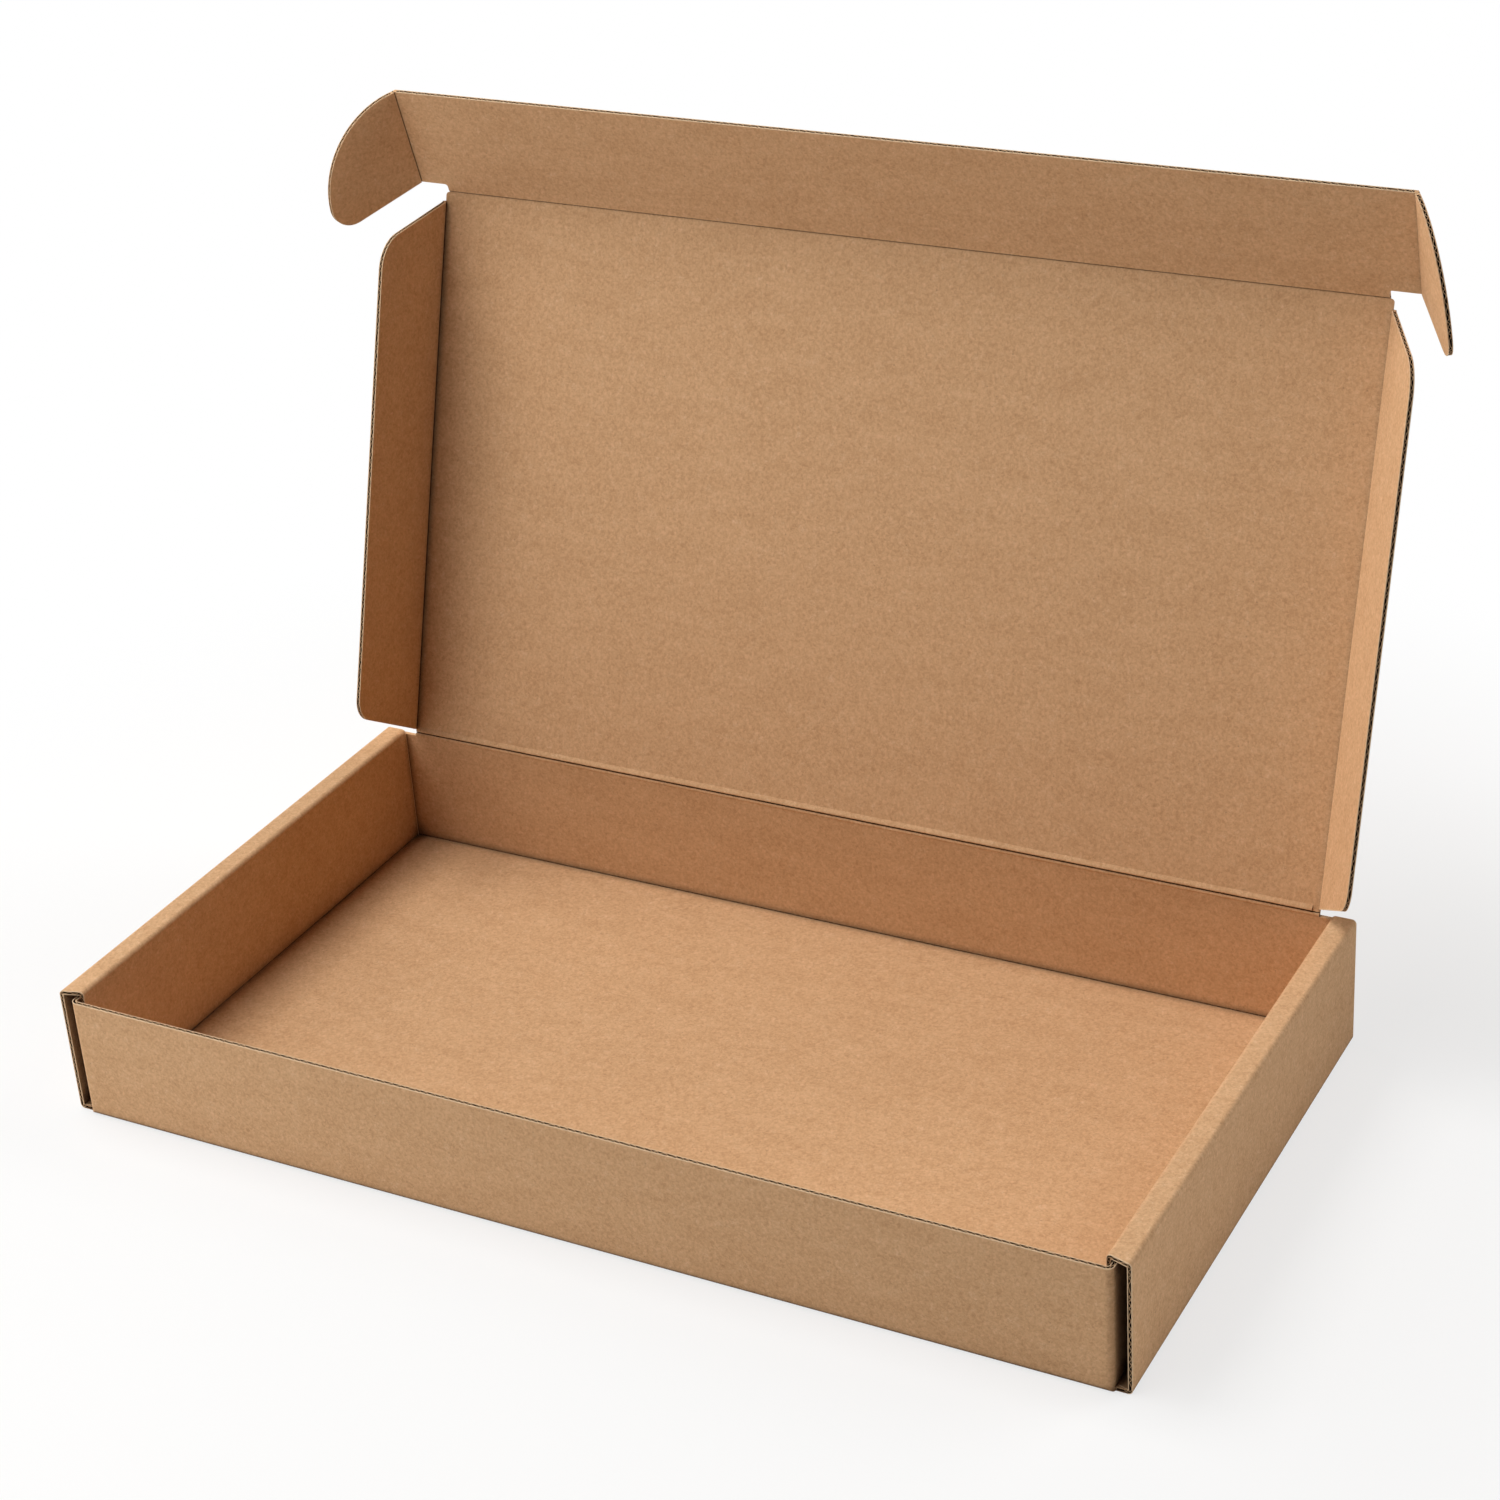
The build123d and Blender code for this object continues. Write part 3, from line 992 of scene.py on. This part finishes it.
def lid_ridge_section():
    """The ridge on the lid: a skewed sine that stands on the lid's inner face."""
    ring = [lid_out * ridge_foot - lid_outer * half_core]
    for row in range(ridge_rows + 1):
        share = row / ridge_rows
        rise = half_board + ridge_rise * math.sin(math.pi * share**ridge_skew)
        ring.append(lid_out * (ridge_foot + ridge_width * share) - lid_outer * rise)
    return ring + [lid_out * (ridge_foot + ridge_width) - lid_outer * half_core]


def wall_ridge_section():
    """The ridge on the back wall: an arc about the hinge, on the inner side."""
    ring = []
    for row in range(ridge_rows + 1):
        turn = wall_ridge_start + (math.pi - wall_ridge_start) * row / ridge_rows
        ring.append((hinge_out * math.cos(turn) - hinge_outer * math.sin(turn)) * wall_ridge_radius)
    return ring


for name, body, ring, half_length in (
    ("lid_foot_ridge", "lid", lid_ridge_section(), lid_half - flap_clearance),
    ("back_wall_ridge", "tray", wall_ridge_section(), lid_half),
):
    ridge = run_along(name, ring, hinge.translation, across_lid, (-half_length, half_length))
    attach(ridge, body)
    print(f"{name}: {2000 * half_length:.0f} mm long")

# %% [markdown]
# The table is a sheet of white paper. Close to the box it keeps the soft shadow, and farther out it
# brightens to pure white for the camera alone, so that the edge of the table never shows. Light
# that bounces off it onto the box sees plain pale paper.

# %% Table
floor_half = 4.0
shadow_reach = 0.34
white_reach = 0.58
shadow_lift = 0.7


def seen_directly(tree):
    """1 for what the camera sees straight, in a mirror or through glass, and 0 for light on the box."""
    ray = add_node(tree, "ShaderNodeLightPath").outputs
    plain = add_node(
        tree, "ShaderNodeMath", {0: ray["Is Camera Ray"], 1: ray["Is Glossy Ray"]}, operation="MAXIMUM"
    )
    seen = add_node(
        tree, "ShaderNodeMath", {0: plain.outputs[0], 1: ray["Is Transmission Ray"]}, operation="MAXIMUM"
    )
    return seen.outputs[0]


def make_table_paper():
    """Pale matt paper that fades to white for the camera, away from the box."""
    material = new_material("table_paper")
    tree = material.node_tree
    place = add_node(tree, "ShaderNodeTexCoord").outputs["Object"]
    distance = add_node(tree, "ShaderNodeVectorMath", {0: place}, operation="LENGTH")
    fade = add_node(
        tree,
        "ShaderNodeMapRange",
        {
            "Value": distance.outputs["Value"],
            "From Min": shadow_reach,
            "From Max": white_reach,
            "To Min": shadow_lift,
            "To Max": 1.0,
        },
        interpolation_type="SMOOTHSTEP",
    )
    share = add_node(
        tree, "ShaderNodeMath", {0: fade.outputs[0], 1: seen_directly(tree)}, operation="MULTIPLY"
    )
    paper = add_node(tree, "ShaderNodeBsdfDiffuse", {"Color": linear("#F4F3F1")})
    white = add_node(tree, "ShaderNodeEmission", {"Color": linear("#FFFFFF"), "Strength": 1.0})
    mixed = add_node(
        tree,
        "ShaderNodeMixShader",
        {0: share.outputs[0], 1: paper.outputs[0], 2: white.outputs[0]},
    )
    add_node(tree, "ShaderNodeOutputMaterial", {"Surface": mixed.outputs[0]})
    return material


table_mesh = bpy.data.meshes.new("table")
corners = [(-1, -1), (1, -1), (1, 1), (-1, 1)]
table_mesh.from_pydata([(x * floor_half, y * floor_half, 0) for x, y in corners], [], [(0, 1, 2, 3)])
table_mesh.materials.append(make_table_paper())
table = bpy.data.objects.new("table", table_mesh)
bpy.context.scene.collection.objects.link(table)
table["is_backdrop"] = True
print(f"table {2 * floor_half:.0f} m square")

# %% [markdown]
# The light is that of a plain product table. A softbox hangs high on the left and a weaker one
# stands low at the front left, near enough that the front wall darkens towards its far end. Three
# broad lights do the rest: one evens out the light from above, one from the left reaches the inside
# of the lid, and one from behind on the right keeps that side wall from going black. There is no
# light from the sky, so the shaded walls take their warm colour from light that bounces about
# inside the box.

# %% Light
aim = Vector((0.0, 0.0, 0.1))
softbox_size = 0.7
# For each softbox: its direction as seen from the box, its distance in metres and its power
softboxes = {
    "high_left_softbox": ((-0.438, 0.0, 0.899), 1.4, 11.0),
    "low_front_softbox": ((-0.604, -0.72, 0.342), 0.85, 1.75),
}
# For each broad light: its direction and its strength
broad_lights = {
    "light_from_above": ((-0.354, -0.354, 0.866), 0.7),
    "light_from_left": ((-0.866, 0.0, 0.5), 0.62),
    "light_from_behind": ((0.612, 0.612, 0.5), 1.25),
}
broad_distance = 2.0
broad_angle = 40.0


def hang_lamp(lamp, way, distance):
    """Put a lamp in the given direction from the box, facing it."""
    light = bpy.data.objects.new(lamp.name, lamp)
    light.location = aim + Vector(way).normalized() * distance
    light.rotation_euler = (-Vector(way)).to_track_quat("-Z", "Y").to_euler()
    bpy.context.scene.collection.objects.link(light)


for name, (way, distance, power) in softboxes.items():
    lamp = bpy.data.lights.new(name, "AREA")
    lamp.shape = "SQUARE"
    lamp.size = softbox_size
    lamp.energy = power
    hang_lamp(lamp, way, distance)
for name, (way, strength) in broad_lights.items():
    lamp = bpy.data.lights.new(name, "SUN")
    lamp.angle = math.radians(broad_angle)
    lamp.energy = strength
    hang_lamp(lamp, way, broad_distance)
print("lamps:", ", ".join(lamp.name for lamp in bpy.data.lights))

# %% [markdown]
# The world is white where the camera looks straight at it, which gives the picture its clean
# background, and black for everything else, so that the lamps alone light the box. The Standard view
# shows a colour about as it is written.

# %% Sky
sky_strength = 0.0
world = bpy.data.worlds.new("studio")
world.use_nodes = True
world.node_tree.nodes.clear()
bpy.context.scene.world = world
strength = add_node(
    world.node_tree,
    "ShaderNodeMapRange",
    {"Value": seen_directly(world.node_tree), "To Min": sky_strength, "To Max": 1.0},
)
sky = add_node(
    world.node_tree,
    "ShaderNodeBackground",
    {"Color": linear("#FFFFFF"), "Strength": strength.outputs[0]},
)
add_node(world.node_tree, "ShaderNodeOutputWorld", {"Surface": sky.outputs[0]})
bpy.context.scene.view_settings.view_transform = "Standard"
print("sky for the camera: white; for the box:", sky_strength)

# %% [markdown]
# The camera stands to the right of the box and looks down on it through a short telephoto lens,
# tipped a few degrees, as the picture was taken.

# %% Camera
camera_place = Vector((575.4, -968.9, 757.2)) * mm
camera_aim = Vector((33.6, -10.0, 165.9)) * mm
camera_roll = -4.07
lens_mm = 77.9
sensor_mm = 36.0
lens_shift_x = 0.0006
lens_shift_y = -0.0015

camera_data = bpy.data.cameras.new("camera")
camera_data.lens = lens_mm
camera_data.sensor_width = sensor_mm
camera_data.shift_x = lens_shift_x
camera_data.shift_y = lens_shift_y
camera = bpy.data.objects.new("camera", camera_data)
facing = (camera_aim - camera_place).to_track_quat("-Z", "Y").to_matrix()
camera.matrix_world = Matrix.Translation(camera_place) @ (
    facing @ Matrix.Rotation(math.radians(camera_roll), 3, "Z")
).to_4x4()
bpy.context.scene.collection.objects.link(camera)
bpy.context.scene.camera = camera
camera_axes = camera.matrix_world.to_3x3().transposed()
print("camera axes:", [[round(c, 4) for c in axis] for axis in camera_axes])

# %% [markdown]
# Last, the sizes of the solids and of the dressed box are printed side by side.

# %% Sizes of the solids and of the dressed box
dressed_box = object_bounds()
sizes = {
    "solid": [list(corner) for corner in solid_box],
    "dressed": [list(corner) for corner in dressed_box],
}
print("solid box:", sizes["solid"])
print("dressed box:", sizes["dressed"])
